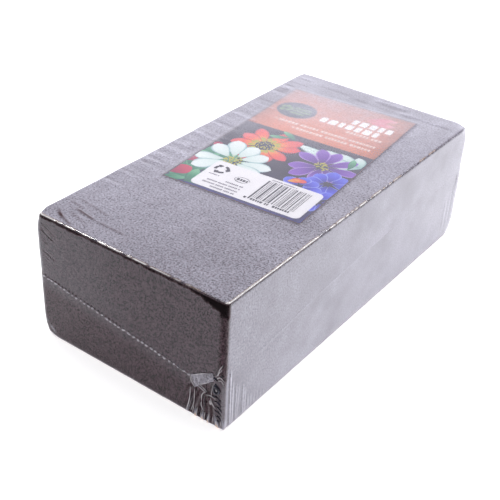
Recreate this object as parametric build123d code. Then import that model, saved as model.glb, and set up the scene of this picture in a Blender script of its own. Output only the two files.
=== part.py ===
"""Floral foam brick in clear shrink film, with a printed card under the film.

The foam is one cut block. The film is one web, folded along the brick's right side and welded
along its other three sides, so it has an upper and a lower leaf that meet in one line all round.
At both ends of the fold the spare film is drawn into a small flat ear.

Frame: origin under the middle of the wrapped brick, +X across it to the right as the card reads,
+Y along it from the end with the front weld, +Z up. Millimetres.
"""

from build123d import *
from math import exp
import os

# Driving dimensions
FOAM_LENGTH = 220.0
FOAM_WIDTH = 111.5
FOAM_HEIGHT = 69.0
FOAM_UPRIGHT_RADIUS = 2.5  # the four upright edges, pressed in most by the shrinking film
FOAM_EDGE_RADIUS = 1.2  # the edges round the top and the bottom

FILM_WALL = 0.1
FILM_GAP = 0.1  # between the foam and the film

CARD_WIDTH = 77.0
CARD_LENGTH = 131.5
CARD_THICKNESS = 0.25
CARD_GAP = 0.05  # from the card to the foam below it and the film above it
CARD_CENTRE = (-1.1, 23.3)
CARD_TURN = 4.5  # degrees anticlockwise, seen from above: the card was dropped on by hand

# The line where the two leaves meet, as heights above the base
LINE_LEFT_FRONT = 35.3
LINE_LEFT_BACK = 34.0
LINE_RIGHT_FRONT = 28.5  # the fold, which climbs towards the back
LINE_RIGHT_RISE = 13.0
LINE_RIGHT_BEND = 2.5  # how soon it climbs
EAR_PULL = 7.0  # the shrinking film drew the end welds down this far where the ears start
EAR_PULL_PLACE = 0.82  # of the way across the end, from the left
EAR_PULL_FADE = 12.0  # how soon the pull is gone along the brick's length

WELD_HEIGHT = 0.8
WELD_DEPTH = 0.5
WELD_POINTS = 9  # along one weld
EAR_DEPTH = 0.8
EAR_REACH = 16.0  # from the upright edge, towards the middle of the brick's end
EAR_RISE = 7.5  # above the line, beside the upright edge
EAR_DROP = 15.0  # below the line, where the pleats run out

# Places that follow from those
FOAM_BASE = FILM_WALL + FILM_GAP
FOAM_TOP = FOAM_BASE + FOAM_HEIGHT
CARD_BASE = FOAM_TOP + CARD_GAP
FILM_TOP = CARD_BASE + CARD_THICKNESS + CARD_GAP + FILM_WALL
SKIN = FILM_GAP + FILM_WALL
FILM_HALF_WIDTH = FOAM_WIDTH / 2 + SKIN
FILM_HALF_LENGTH = FOAM_LENGTH / 2 + SKIN
FLAT_HALF_WIDTH = FOAM_WIDTH / 2 - FOAM_UPRIGHT_RADIUS
FLAT_HALF_LENGTH = FOAM_LENGTH / 2 - FOAM_UPRIGHT_RADIUS


def soft_block(width, length, base, top, upright_radius, edge_radius):
    """A block with its upright edges and then its top and bottom rims rounded."""
    block = Pos(0, 0, (base + top) / 2) * Box(width, length, top - base)
    block = fillet(block.edges().filter_by(Axis.Z), upright_radius)
    rims = block.edges().group_by(Axis.Z)
    return fillet(rims[0] + rims[-1], edge_radius)


def line_height(x, y):
    """Height of the line between the leaves. It runs straight along the left side, climbs along
    the right side ever more gently, and is blended straight across the brick between the two.
    At both ends it is also drawn down in a wide V whose point is where the ear starts."""
    across = min(max(x / FOAM_WIDTH + 0.5, 0), 1)
    along = min(max(y / FOAM_LENGTH + 0.5, 0), 1)
    left = LINE_LEFT_FRONT + (LINE_LEFT_BACK - LINE_LEFT_FRONT) * along
    right = LINE_RIGHT_FRONT + LINE_RIGHT_RISE * (1 - exp(-LINE_RIGHT_BEND * along))
    pull = min(across / EAR_PULL_PLACE, (1 - across) / (1 - EAR_PULL_PLACE))
    nearness = exp(-EAR_PULL_FADE * along) + exp(-EAR_PULL_FADE * (1 - along))
    return left + (right - left) * across - EAR_PULL * pull * nearness


def steps(low, high, count):
    """Evenly spaced values from low to high, both included."""
    return [low + (high - low) * i / (count - 1) for i in range(count)]


# Foam: one block of fine open-cell foam.
def foam_brick():
    return soft_block(
        FOAM_WIDTH, FOAM_LENGTH, FOAM_BASE, FOAM_TOP, FOAM_UPRIGHT_RADIUS, FOAM_EDGE_RADIUS
    )


# Card: a flat printed card that lies loose on the foam and is held by the film.
def label_card():
    place = Pos(*CARD_CENTRE, CARD_BASE + CARD_THICKNESS / 2) * Rot(0, 0, CARD_TURN)
    return place * Box(CARD_WIDTH, CARD_LENGTH, CARD_THICKNESS)


# Film: a thin shell all round, cut into its two leaves along the line where they meet.
def film_shell():
    outside = soft_block(
        2 * FILM_HALF_WIDTH, 2 * FILM_HALF_LENGTH, 0, FILM_TOP,
        FOAM_UPRIGHT_RADIUS + SKIN, FOAM_EDGE_RADIUS + SKIN,
    )
    inside = soft_block(
        2 * (FILM_HALF_WIDTH - FILM_WALL), 2 * (FILM_HALF_LENGTH - FILM_WALL),
        FILM_WALL, FILM_TOP - FILM_WALL,
        FOAM_UPRIGHT_RADIUS + FILM_GAP, FOAM_EDGE_RADIUS + FILM_GAP,
    )
    return outside - inside


def space_below_line():
    """Everything under the line between the leaves, a little wider than the brick."""
    margin = 5.0
    columns = steps(-FILM_HALF_WIDTH - margin, FILM_HALF_WIDTH + margin, 23)
    rows = steps(-FILM_HALF_LENGTH - margin, FILM_HALF_LENGTH + margin, 31)
    grid = [[Vector(x, y, line_height(x, y)) for y in rows] for x in columns]
    surface = Face.make_surface_from_array_of_points(grid)
    return Solid.extrude(surface, Vector(0, 0, -FILM_TOP))


# Welds: the thin raised bead where the hot bar cut and joined the leaves.
def end_weld(low_x, high_x, side):
    """A bead across the brick's front (side -1) or back (side +1) end, flush on the film."""
    y = side * FILM_HALF_LENGTH
    columns = steps(low_x, high_x, WELD_POINTS)
    heights = [line_height(x, side * FOAM_LENGTH / 2) for x in columns]
    upper = [(x, y, z + WELD_HEIGHT / 2) for x, z in zip(columns, heights)]
    lower = [(x, y, z - WELD_HEIGHT / 2) for x, z in zip(columns, heights)]
    outline = Polyline(*upper, *reversed(lower), close=True)
    return extrude(make_face(outline), WELD_DEPTH, dir=(0, side, 0))


def side_weld():
    """A bead along the brick's left side, flush on the film."""
    x = -FILM_HALF_WIDTH
    rows = (-FLAT_HALF_LENGTH, FLAT_HALF_LENGTH)
    heights = [line_height(-FOAM_WIDTH / 2, y) for y in rows]
    upper = [(x, y, z + WELD_HEIGHT / 2) for y, z in zip(rows, heights)]
    lower = [(x, y, z - WELD_HEIGHT / 2) for y, z in zip(rows, heights)]
    outline = Polyline(*upper, *reversed(lower), close=True)
    return extrude(make_face(outline), WELD_DEPTH, dir=(-1, 0, 0))


# Ears: the spare film at each end of the fold, gathered and flattened on the brick's end.
def film_ear(side):
    """A flat tab beside the right upright edge of the front (-1) or back (+1) end."""
    y = side * FILM_HALF_LENGTH
    inner = FLAT_HALF_WIDTH - EAR_REACH
    outer = FLAT_HALF_WIDTH - 0.5
    middle = (inner + outer) / 2
    line = line_height(inner, side * FOAM_LENGTH / 2)
    corners = [
        (inner, y, line - 2.0),
        (inner, y, line + 3.5),
        (outer, y, line + EAR_RISE),
        (outer, y, line - EAR_DROP + 2.0),
        (middle, y, line - EAR_DROP),
    ]
    return extrude(make_face(Polyline(*corners, close=True)), EAR_DEPTH, dir=(0, side, 0))


shell = film_shell()
below = space_below_line()
weld_end = FLAT_HALF_WIDTH - EAR_REACH - 0.5

parts = {
    "foam_brick": foam_brick(),
    "label_card": label_card(),
    "film_upper_leaf": shell - below,
    "film_lower_leaf": shell & below,
    "weld_front": end_weld(-FLAT_HALF_WIDTH, weld_end, -1),
    "weld_back": end_weld(-FLAT_HALF_WIDTH, weld_end, +1),
    "weld_left_side": side_weld(),
    "film_ear_front": film_ear(-1),
    "film_ear_back": film_ear(+1),
}

os.makedirs("parts", exist_ok=True)
for name, shape in parts.items():
    shape.label = name
    export_step(shape, f"parts/{name}.step")
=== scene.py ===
"""Floral foam brick in clear shrink film, with a printed card under the film.

Sections run in the order that the pack is put together: the studio, the foam block, the card and what
is printed on it, the film, its welds and its ears. Shapes are worked out in millimetres in the frame
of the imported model: +X across the brick to the right as the card reads, +Y along it, +Z up.
"""

import bmesh
import bpy
import numpy as np
from mathutils import Matrix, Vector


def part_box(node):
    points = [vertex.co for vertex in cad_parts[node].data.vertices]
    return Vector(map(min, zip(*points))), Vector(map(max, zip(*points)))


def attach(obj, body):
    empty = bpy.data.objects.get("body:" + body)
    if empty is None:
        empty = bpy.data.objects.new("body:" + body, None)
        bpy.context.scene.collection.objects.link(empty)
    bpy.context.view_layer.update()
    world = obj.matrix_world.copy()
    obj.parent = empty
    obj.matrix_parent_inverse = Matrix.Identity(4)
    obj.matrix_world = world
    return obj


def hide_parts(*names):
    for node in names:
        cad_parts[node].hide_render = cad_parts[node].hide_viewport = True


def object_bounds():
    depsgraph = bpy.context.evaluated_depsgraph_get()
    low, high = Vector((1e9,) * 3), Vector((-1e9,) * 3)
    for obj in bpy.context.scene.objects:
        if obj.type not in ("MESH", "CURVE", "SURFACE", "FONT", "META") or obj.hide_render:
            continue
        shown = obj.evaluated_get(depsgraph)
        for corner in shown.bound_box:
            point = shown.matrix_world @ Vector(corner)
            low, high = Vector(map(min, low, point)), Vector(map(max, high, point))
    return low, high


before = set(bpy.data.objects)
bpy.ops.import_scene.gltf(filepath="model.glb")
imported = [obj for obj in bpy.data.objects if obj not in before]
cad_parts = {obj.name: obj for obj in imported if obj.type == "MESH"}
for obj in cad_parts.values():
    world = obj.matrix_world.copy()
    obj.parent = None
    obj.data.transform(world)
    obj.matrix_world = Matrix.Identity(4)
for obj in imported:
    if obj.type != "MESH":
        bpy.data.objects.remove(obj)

cad_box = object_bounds()

# ------------------------------------------------------------------------------------------------
# Studio. A pale table, a big softbox over the brick, one at its right, and a white board behind it at
# the left, which the film on the top face mirrors. Two thin strip lights give the film its glints, beside
# the glints painted white into the film along its front and right top edges.

MM = 0.001


def paint(code):
    """Linear colour, with full alpha, of an sRGB hex code."""
    parts = np.array([int(code[i : i + 2], 16) for i in (1, 3, 5)]) / 255
    linear = np.where(parts <= 0.04045, parts / 12.92, ((parts + 0.055) / 1.055) ** 2.4)
    return (*linear, 1.0)


def add_node(tree, kind, inputs=None, **settings):
    """Add a node of that kind. settings are its options, and inputs gives its inputs by name or number:
    a plain value is set, and another node's output is linked."""
    made = tree.nodes.new(kind)
    for option, value in settings.items():
        setattr(made, option, value)
    for name, value in (inputs or {}).items():
        if isinstance(value, bpy.types.NodeSocket):
            tree.links.new(value, made.inputs[name])
        else:
            made.inputs[name].default_value = value
    return made


def new_material(name):
    """An empty material and its node tree."""
    material = bpy.data.materials.new(name)
    material.use_nodes = True
    material.node_tree.nodes.clear()
    return material, material.node_tree


def finish_material(tree, shader):
    """Send a shader to the material's output."""
    add_node(tree, "ShaderNodeOutputMaterial", {"Surface": shader.outputs[0]})


def new_mesh(name, points, faces, material):
    """A smooth-shaded mesh object from points in mm and faces of equal corner count, at the origin."""
    mesh = bpy.data.meshes.new(name)
    corners = faces.shape[1]
    mesh.vertices.add(len(points))
    mesh.vertices.foreach_set("co", (points * MM).astype(np.float32).ravel())
    mesh.loops.add(faces.size)
    mesh.loops.foreach_set("vertex_index", faces.astype(np.int32).ravel())
    mesh.polygons.add(len(faces))
    mesh.polygons.foreach_set("loop_start", np.arange(0, faces.size, corners, dtype=np.int32))
    mesh.update(calc_edges=True)
    mesh.validate()
    mesh.polygons.foreach_set("use_smooth", np.full(len(mesh.polygons), True))
    mesh.materials.append(material)
    made = bpy.data.objects.new(name, mesh)
    bpy.context.scene.collection.objects.link(made)
    return made


def turned_axes(azimuth, elevation, roll=0.0):
    """Right, up and back directions of a camera that looks at the origin from an azimuth, counted from
    the front towards the right, and an elevation, in degrees, then rolls about its line of sight."""
    a, e, r = np.radians([azimuth, elevation, roll])
    back = np.array([np.sin(a) * np.cos(e), -np.cos(a) * np.cos(e), np.sin(e)])
    level = np.array([np.cos(a), np.sin(a), 0.0])
    upright = np.cross(back, level)
    right = level * np.cos(r) + upright * np.sin(r)
    up = upright * np.cos(r) - level * np.sin(r)
    return right, up, back


def stand(made, axes, position):
    """Put an object at a position in metres, with its own X, Y and Z along the three axes."""
    rows = [[*row, shift] for row, shift in zip(np.transpose(axes), position)]
    made.matrix_world = Matrix([*rows, [0, 0, 0, 1]])


low, high = (np.array(corner) for corner in cad_box)
middle = np.array([0.0, 0.0, high[2] / 2])

camera = bpy.data.objects.new("camera", bpy.data.cameras.new("camera"))
bpy.context.scene.collection.objects.link(camera)
bpy.context.scene.camera = camera
camera.data.sensor_width = 36.0
camera.data.lens = 68.8
CAMERA_DISTANCE = 0.5046
CAMERA_ASIDE = (-0.0105, -0.0146)  # it looks a little to the left of the brick's middle, and below it
CAMERA_ANGLES = (34.91, 33.14, 3.1)  # azimuth, elevation and roll
right, up, back = turned_axes(*CAMERA_ANGLES)
aside = right * CAMERA_ASIDE[0] + up * CAMERA_ASIDE[1]
stand(camera, (right, up, back), middle + back * CAMERA_DISTANCE + aside)


def add_softbox(name, azimuth, elevation, distance, size, glow):
    """A rectangular lamp that faces the brick's middle. glow is how bright its face is: 1 is paper white."""
    lamp = bpy.data.lights.new(name, "AREA")
    lamp.shape = "RECTANGLE"
    lamp.size, lamp.size_y = size
    lamp.energy = glow * np.pi * size[0] * size[1]
    made = bpy.data.objects.new(name, lamp)
    bpy.context.scene.collection.objects.link(made)
    axes = turned_axes(azimuth, elevation)
    stand(made, axes, middle + axes[2] * distance)


add_softbox("softbox_top", 165, 76, 0.95, (1.1, 1.1), 2.2)
add_softbox("softbox_right", 100, 28, 1.1, (0.9, 0.7), 0.14)
add_softbox("board_back_left", 215, 12, 1.3, (1.2, 0.7), 0.5)
add_softbox("strip_over_front_edge", -93, 51.5, 1.0, (0.5, 0.08), 20)
add_softbox("strip_over_right_edge", 164, 44, 1.0, (0.08, 0.3), 16)

sky = bpy.data.worlds.new("studio_air")
sky.use_nodes = True
sky.node_tree.nodes["Background"].inputs["Color"].default_value = paint("#FBFAFF")
sky.node_tree.nodes["Background"].inputs["Strength"].default_value = 0.16
bpy.context.scene.world = sky
bpy.context.scene.view_settings.view_transform = "Standard"

# Table: white opal acrylic, lit a little from below, so that the brick's shadow stays faint.
table_material, tree = new_material("opal_acrylic")
grain = add_node(tree, "ShaderNodeTexNoise", {"Scale": 3.0})
tone = add_node(
    tree, "ShaderNodeMix",
    {"Factor": grain.outputs[0], 6: paint("#F6F5F7"), 7: paint("#F8F7F8")}, data_type="RGBA",
)
shader = add_node(
    tree, "ShaderNodeBsdfPrincipled",
    {"Base Color": tone.outputs[2], "Roughness": 0.9,
     "Emission Color": paint("#FFFFFF"), "Emission Strength": 0.63},
)
finish_material(tree, shader)
TABLE_HALF = 4000.0
corners = np.array([[-1, -1, 0], [1, -1, 0], [1, 1, 0], [-1, 1, 0]]) * TABLE_HALF
table = new_mesh("table", corners, np.array([[0, 1, 2, 3]]), table_material)

# ------------------------------------------------------------------------------------------------
# Foam block. Phenolic floral foam, sawn to size: fine open cells, matt, dark brown-grey, with edges
# that crumble a little where they were handled.


def noise(points, size, seed):
    """Smooth noise from -1 to 1. Random values sit on a cubic lattice whose cells are size mm, and
    between them each value is blended by the weights t*t*(3-2t) along the three axes."""
    cells = points / size
    start = np.floor(cells).astype(int)
    part = cells - start
    part = part * part * (3 - 2 * part)
    first = start.min(axis=0)
    start = start - first
    lattice = np.random.default_rng(seed).uniform(-1, 1, start.max(axis=0) + 2)
    total = np.zeros(len(points))
    for corner in np.ndindex(2, 2, 2):
        weight = np.prod(np.where(corner, part, 1 - part), axis=1)
        total += weight * lattice[tuple((start + corner).T)]
    return total


def lines(*stretches):
    """Grid lines in mm. Each stretch is (start, end, spacing), and the next one starts where it ends."""
    made = [np.linspace(a, b, max(2, int(round(abs(b - a) / gap)) + 1)) for a, b, gap in stretches]
    return np.unique(np.concatenate(made).round(6))


def grid_quads(number):
    """Quads of a grid of point numbers, with a row for each place along its first direction."""
    return np.stack([number[:-1, :-1], number[1:, :-1], number[1:, 1:], number[:-1, 1:]], -1).reshape(-1, 4)


CORNER_STEPS = 4  # grid lines in the quarter circle of an upright edge
ARC_STEPS = 5  # rows of faces round an edge of the flat face


def block_half(side, face, xs, ys, upright_radius, edge_radius, rim, rows):
    """Half of a rounded block's skin: its top (side 1) or bottom (side -1) and the walls as far as rim.

    The flat face is a grid. Its lines are pulled into the rounded corners by scaling each square ring of
    a corner to a quarter circle of the same size. The face's outline then goes round the edge in an arc
    and on along the walls, in even rows, to the height rim(x, y). Gives points, outward normals, faces."""
    fraction = np.arange(1, CORNER_STEPS + 1) / CORNER_STEPS

    def spread(values):
        first, last = np.full(CORNER_STEPS, values[0]), np.full(CORNER_STEPS, values[-1])
        pull = np.concatenate([-fraction[::-1], np.zeros(len(values)), fraction])
        return np.concatenate([first, values, last]), pull

    centre_x, pull_x = spread(xs)
    centre_y, pull_y = spread(ys)
    cx, cy = np.meshgrid(centre_x, centre_y, indexing="ij")
    px, py = np.meshgrid(pull_x, pull_y, indexing="ij")
    scale = np.maximum(abs(px), abs(py)) / np.maximum(np.hypot(px, py), 1e-9)
    px, py = px * scale, py * scale
    count_x, count_y = cx.shape
    number = np.arange(count_x * count_y).reshape(count_x, count_y)
    ring = np.concatenate([number[:, 0], number[-1, 1:], number[-2::-1, -1], number[0, -2:0:-1]])
    cx, cy, px, py = (grid.ravel() for grid in (cx, cy, px, py))
    inner = upright_radius - edge_radius
    flat = np.column_stack([cx + px * inner, cy + py * inner, np.full(len(cx), face)])
    up_flat = np.tile([0.0, 0.0, side], (len(flat), 1))

    rx, ry, nx, ny = cx[ring], cy[ring], px[ring], py[ring]
    length = np.hypot(nx, ny)
    nx, ny = nx / length, ny / length
    points, normals = [flat], [up_flat]
    for angle in np.radians(np.linspace(90, 0, ARC_STEPS + 1)[1:]):
        reach = inner + edge_radius * np.cos(angle)
        height = face - side * edge_radius * (1 - np.sin(angle))
        points.append(np.column_stack([rx + nx * reach, ry + ny * reach, np.full(len(rx), height)]))
        normals.append(
            np.column_stack([nx * np.cos(angle), ny * np.cos(angle), np.full(len(rx), side * np.sin(angle))])
        )
    wall_x, wall_y = rx + nx * upright_radius, ry + ny * upright_radius
    start, end = face - side * edge_radius, rim(wall_x, wall_y)
    for share in np.arange(1, rows + 1) / rows:
        points.append(np.column_stack([wall_x, wall_y, start + (end - start) * share]))
        normals.append(np.column_stack([nx, ny, np.zeros(len(rx))]))

    around = len(ring)
    rings = [ring] + [len(flat) + np.arange(around) + around * k for k in range(ARC_STEPS + rows)]
    quads = [grid_quads(number)]
    for upper, lower in zip(rings, rings[1:]):
        quads.append(np.stack([lower, np.roll(lower, -1), np.roll(upper, -1), upper], -1))
    faces = np.concatenate(quads)
    return np.concatenate(points), np.concatenate(normals), faces if side > 0 else faces[:, ::-1]


def merge_points(made, distance=1e-6):
    """Join vertices of a mesh object that lie within a distance in metres."""
    work = bmesh.new()
    work.from_mesh(made.data)
    bmesh.ops.remove_doubles(work, verts=work.verts, dist=distance)
    work.to_mesh(made.data)
    work.free()


FILM_END = 110.2  # from the brick's middle to the film on its ends
FILM_SIDE = 55.95  # and to the film on its sides


CRUSH_REACH = 5.0  # mm from a corner


def crush(points):
    """How far the shrinking film pressed the brick's corners in, in mm, towards the brick's middle: a
    depth of its own at each corner, times exp(-(d/reach)^2), where d is the distance to that corner."""
    pressed = np.zeros(len(points))
    depths = {
        (-1, -1, 1): 1.6, (1, -1, 1): 0.1, (1, 1, 1): 1.6, (-1, 1, 1): 0.5,
        (-1, -1, -1): 1.3, (1, -1, -1): 0.2, (1, 1, -1): 1.4, (-1, 1, -1): 1.2,
    }
    for (side_x, side_y, side_z), depth in depths.items():
        corner = np.array([side_x * FILM_SIDE, side_y * FILM_END, high[2] / MM if side_z > 0 else 0])
        pressed += depth * np.exp(-((np.linalg.norm(points - corner, axis=1) / CRUSH_REACH) ** 2))
    return pressed


def square_up(points, normals, radius):
    """How far, in mm, to push a round upright edge out along its normal so that it comes nearer to a
    sharp one: a share of radius * (1 / cos(a) - 1), where a is the normal's angle from the nearer face.
    The front right edge is the sharpest."""
    nx, ny = abs(normals[:, 0]), abs(normals[:, 1])
    flat = np.hypot(nx, ny)
    gap = radius * (flat / np.maximum(np.maximum(nx, ny), 1e-6) - 1) * flat
    front_right = (points[:, 0] > 0) & (points[:, 1] < 0)
    return gap * np.where(front_right, 0.8, 0.3)


def press_corners(points):
    """Move points near the corners inwards along the corner's diagonal, by crush mm."""
    inward = -np.sign(points - middle / MM) / np.sqrt(3)
    return points + inward * crush(points)[:, None]


foam_low, foam_high = (np.array(corner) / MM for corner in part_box("foam_brick"))
FOAM_UPRIGHT_RADIUS = 2.5
FOAM_EDGE_RADIUS = 1.2
FOAM_SPACING = 1.25  # between grid lines
FOAM_WALL_ROWS = 26
foam_half = foam_high[:2] - FOAM_UPRIGHT_RADIUS
foam_xs, foam_ys = (lines((-half, half, FOAM_SPACING)) for half in foam_half)
halfway = (foam_low[2] + foam_high[2]) / 2
foam_parts = [
    block_half(
        side, face, foam_xs, foam_ys, FOAM_UPRIGHT_RADIUS, FOAM_EDGE_RADIUS,
        lambda x, y: np.full(len(x), halfway), FOAM_WALL_ROWS,
    )
    for side, face in ((1, foam_high[2]), (-1, foam_low[2]))
]
points = np.concatenate([part[0] for part in foam_parts])
normals = np.concatenate([part[1] for part in foam_parts])
faces = np.concatenate([foam_parts[0][2], foam_parts[1][2] + len(foam_parts[0][0])])
# The sawn surface is pitted by up to 0.15 mm, and the edges have crumbled by up to 0.5 mm more.
on_edge = 1 - np.max(abs(normals), axis=1)
pits = 0.08 + 0.05 * noise(points, 2.2, 11) + 0.03 * noise(points, 6.0, 12)
crumbs = on_edge * (0.8 + 0.8 * noise(points, 4.0, 13))
squarer = square_up(points, normals, FOAM_UPRIGHT_RADIUS)
points = press_corners(points + normals * (squarer - pits - crumbs)[:, None])

# Sawn open cells: every cell's mouth is painted dark, as the shade in its pit, its rim is light, and nothing
# shines.
foam_material, tree = new_material("phenolic_floral_foam")
place_on = add_node(tree, "ShaderNodeTexCoord")
CELL = 0.7  # mm; real cells are about 0.3 mm, drawn coarser so that they show
CELL_SHADE_SIZE = 0.8  # mm, as coarse for the same reason: light rims and dark mouths of cells
CLOUD = 18  # mm: patches that the saw left smoother
cells = add_node(
    tree, "ShaderNodeTexNoise",
    {"Vector": place_on.outputs["Object"], "Scale": 1 / (CELL * MM), "Detail": 2.0},
)
cell_shade_noise = add_node(
    tree, "ShaderNodeTexNoise",
    {"Vector": place_on.outputs["Object"], "Scale": 1 / (CELL_SHADE_SIZE * MM), "Detail": 2.0, "Roughness": 0.6},
)
cloud = add_node(
    tree, "ShaderNodeTexNoise",
    {"Vector": place_on.outputs["Object"], "Scale": 1 / (CLOUD * MM), "Detail": 2.0},
)
# Painted shade: the ramp's near-black end darkens the cells' mouths, where shade falls in their pits.
shade = add_node(tree, "ShaderNodeValToRGB", {"Fac": cell_shade_noise.outputs[0]})
shade.color_ramp.elements[0].position = 0.40
shade.color_ramp.elements[0].color = paint("#180F12")
shade.color_ramp.elements[1].position = 0.60
shade.color_ramp.elements[1].color = paint("#715963")
patches = add_node(tree, "ShaderNodeMapRange", {"Value": cloud.outputs[0], "To Max": 0.4})
mottle = add_node(
    tree, "ShaderNodeMix",
    {"Factor": patches.outputs[0], 6: shade.outputs[0], 7: paint("#433338")}, data_type="RGBA",
)
relief = add_node(
    tree, "ShaderNodeBump", {"Height": cells.outputs[0], "Strength": 0.5, "Distance": 0.4 * MM}
)
shader = add_node(
    tree, "ShaderNodeBsdfPrincipled",
    {"Base Color": mottle.outputs[2], "Roughness": 0.95, "Specular IOR Level": 0.2,
     "Normal": relief.outputs[0]},
)
finish_material(tree, shader)
foam = new_mesh("foam_block", points, faces, foam_material)
merge_points(foam)
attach(foam, "root")
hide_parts("foam_brick")

# ------------------------------------------------------------------------------------------------
# Card. Coated white board, 0.25 mm thick, printed in full colour and dropped on the foam a little
# askew; only the film holds it. Its terracotta head carries a badge and wording, and its foot a flower
# picture with a white panel. Places on it are mm from its left edge and mm down from its top edge.

CARD_SIZE = np.array([77.0, 131.5])
CARD_TURN = np.radians(4.5)
BOARD = 0.25
card_low, card_high = (np.array(corner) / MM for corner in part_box("label_card"))
card_centre = (card_low + card_high)[:2] / 2


def band(path, half_width, columns=5):
    """A flat strip: at each place of its path it spreads half_width to both sides, square to the path.
    Gives a grid of places on the card, and the share of the way across and along the strip at each."""
    path = np.asarray(path, float)
    way = np.gradient(path, axis=0)
    way /= np.maximum(np.hypot(*way.T), 1e-9)[:, None]
    aside = np.column_stack([way[:, 1], -way[:, 0]])
    reach = np.broadcast_to(half_width, len(path))[:, None] * np.linspace(-1, 1, columns)
    across, along = np.meshgrid(np.linspace(0, 1, columns), np.linspace(0, 1, len(path)))
    return path[:, None] + aside[:, None] * reach[..., None], across, along


def block(left, top, right, bottom, radius=0.0):
    """A rectangle with its corners rounded: in the corners' rows, its half width is short by
    radius - sqrt(radius^2 - d^2), where d is how far the row is into the corner."""
    swing = radius * (1 - np.cos(np.radians(np.linspace(0, 90, 6)))) if radius else np.zeros(1)
    between = np.linspace(top + radius, bottom - radius, 5)
    rows = np.unique(np.concatenate([top + swing, bottom - swing, between]))
    into = np.maximum(np.maximum(top + radius - rows, rows - bottom + radius), 0)
    half_width = (right - left) / 2 - radius + np.sqrt(np.maximum(radius**2 - into**2, 0))
    path = np.column_stack([np.full(len(rows), (left + right) / 2), rows])
    return band(path, half_width)


def disc(centre, radius, squash=1.0):
    """A disc, or an oval whose height is squash of its width, as a rounded block."""
    angle = np.radians(np.linspace(0, 180, 13))
    rows = centre[1] - radius * squash * np.cos(angle)
    return band(np.column_stack([np.full(13, centre[0]), rows]), radius * np.sin(angle))


def petal(root, angle, length, width, bend=0.0, widest=0.6):
    """A petal from its root: its path turns by bend degrees along its length, and at the share t of its
    length its half width is width/2 * sin(pi * t^k)^0.7, with k such that it is widest at that share."""
    share = np.linspace(0, 1, 13)
    turn = np.radians(angle + bend * (share - 0.5))
    step = length / 12 * np.column_stack([np.cos(turn), -np.sin(turn)])
    path = root + np.concatenate([np.zeros((1, 2)), np.cumsum(step[:-1], axis=0)])
    swell = np.sin(np.pi * share ** (np.log(0.5) / np.log(widest)))
    return band(path, width / 2 * np.maximum(swell, 0) ** 0.7, 7)


def flower(centre, reach, petals, width, first_angle, seed, start=2.0, widest=0.62):
    """Petals round a centre, evenly turned, each a little off in its angle, length and bend."""
    draw = np.random.default_rng(seed)
    made = []
    for index in range(petals):
        angle = first_angle + 360 * index / petals + draw.uniform(-7, 7)
        away = start * np.array([np.cos(np.radians(angle)), -np.sin(np.radians(angle))])
        length = reach * draw.uniform(0.86, 1.05) - start
        breadth, bend = width * draw.uniform(0.9, 1.1), draw.uniform(-22, 22)
        made.append(petal(centre + away, angle, length, breadth, bend, widest))
    return made


def specks(centre, reach, count, size, seed):
    """Small dots strewn round a centre, as far as reach."""
    draw = np.random.default_rng(seed)
    angle, away = draw.uniform(0, 2 * np.pi, count), reach * np.sqrt(draw.uniform(0, 1, count))
    places = np.column_stack([centre[0] + away * np.cos(angle), centre[1] + away * np.sin(angle)])
    return [disc(place, size * draw.uniform(0.6, 1.2)) for place in places]


def words(left, right, top, height, seed):
    """A line of wording without letters: bars one letter wide, in groups one word long."""
    draw = np.random.default_rng(seed)
    made, place, room = [], left, draw.integers(5, 9)
    while place < right - 0.4 * height:
        width = height * draw.uniform(0.45, 0.8)
        end = min(place + width, right)
        made.append(block(place, top, end, top + height, 0.12 * height))
        room -= 1
        place = end + height * (0.22 if room else 0.75)
        room = room or draw.integers(4, 9)
    return made


def print_on_card(name, shapes, material, lift, step=0.0):
    """A mesh of flat shapes, cut off at the card's edges. The first lies lift mm over the card, and each
    next one step mm higher, so that later shapes cover earlier ones."""
    places, lifts, shares, quads, start = [], [], [], [], 0
    for index, (grid, across, along) in enumerate(shapes):
        rows, columns = across.shape
        number = start + np.arange(rows * columns).reshape(rows, columns)
        quads.append(grid_quads(number))
        places.append(np.clip(grid.reshape(-1, 2), 0, CARD_SIZE))
        lifts.append(np.full(rows * columns, lift + index * step))
        shares.append(np.column_stack([across.ravel(), along.ravel()]))
        start += rows * columns
    places, lifts, shares, quads = (np.concatenate(part) for part in (places, lifts, shares, quads))
    first, second, third, fourth = (places[quads[:, corner]] for corner in range(4))
    one, two = third - first, fourth - second
    area = (one[:, 0] * two[:, 1] - one[:, 1] * two[:, 0]) / 2
    quads[area > 0] = quads[area > 0][:, ::-1]
    quads = quads[abs(area) > 1e-4]
    used, quads = np.unique(quads, return_inverse=True)
    quads = quads.reshape(-1, 4)
    u, v = places[used, 0] - CARD_SIZE[0] / 2, CARD_SIZE[1] / 2 - places[used, 1]
    points = np.column_stack([
        card_centre[0] + u * np.cos(CARD_TURN) - v * np.sin(CARD_TURN),
        card_centre[1] + u * np.sin(CARD_TURN) + v * np.cos(CARD_TURN),
        card_high[2] + lifts[used],
    ])
    made = new_mesh(name, points, quads, material)
    corner_points = np.empty(len(made.data.loops), dtype=np.int32)
    made.data.loops.foreach_get("vertex_index", corner_points)
    made.data.uv_layers.new(name="shares").data.foreach_set("uv", shares[used][corner_points].ravel())
    merge_points(made, 1e-7)
    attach(made, "root")
    return made


DOTS = 0.8  # mm; the screen dots of offset print are about 0.15 mm, too fine to show


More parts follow.
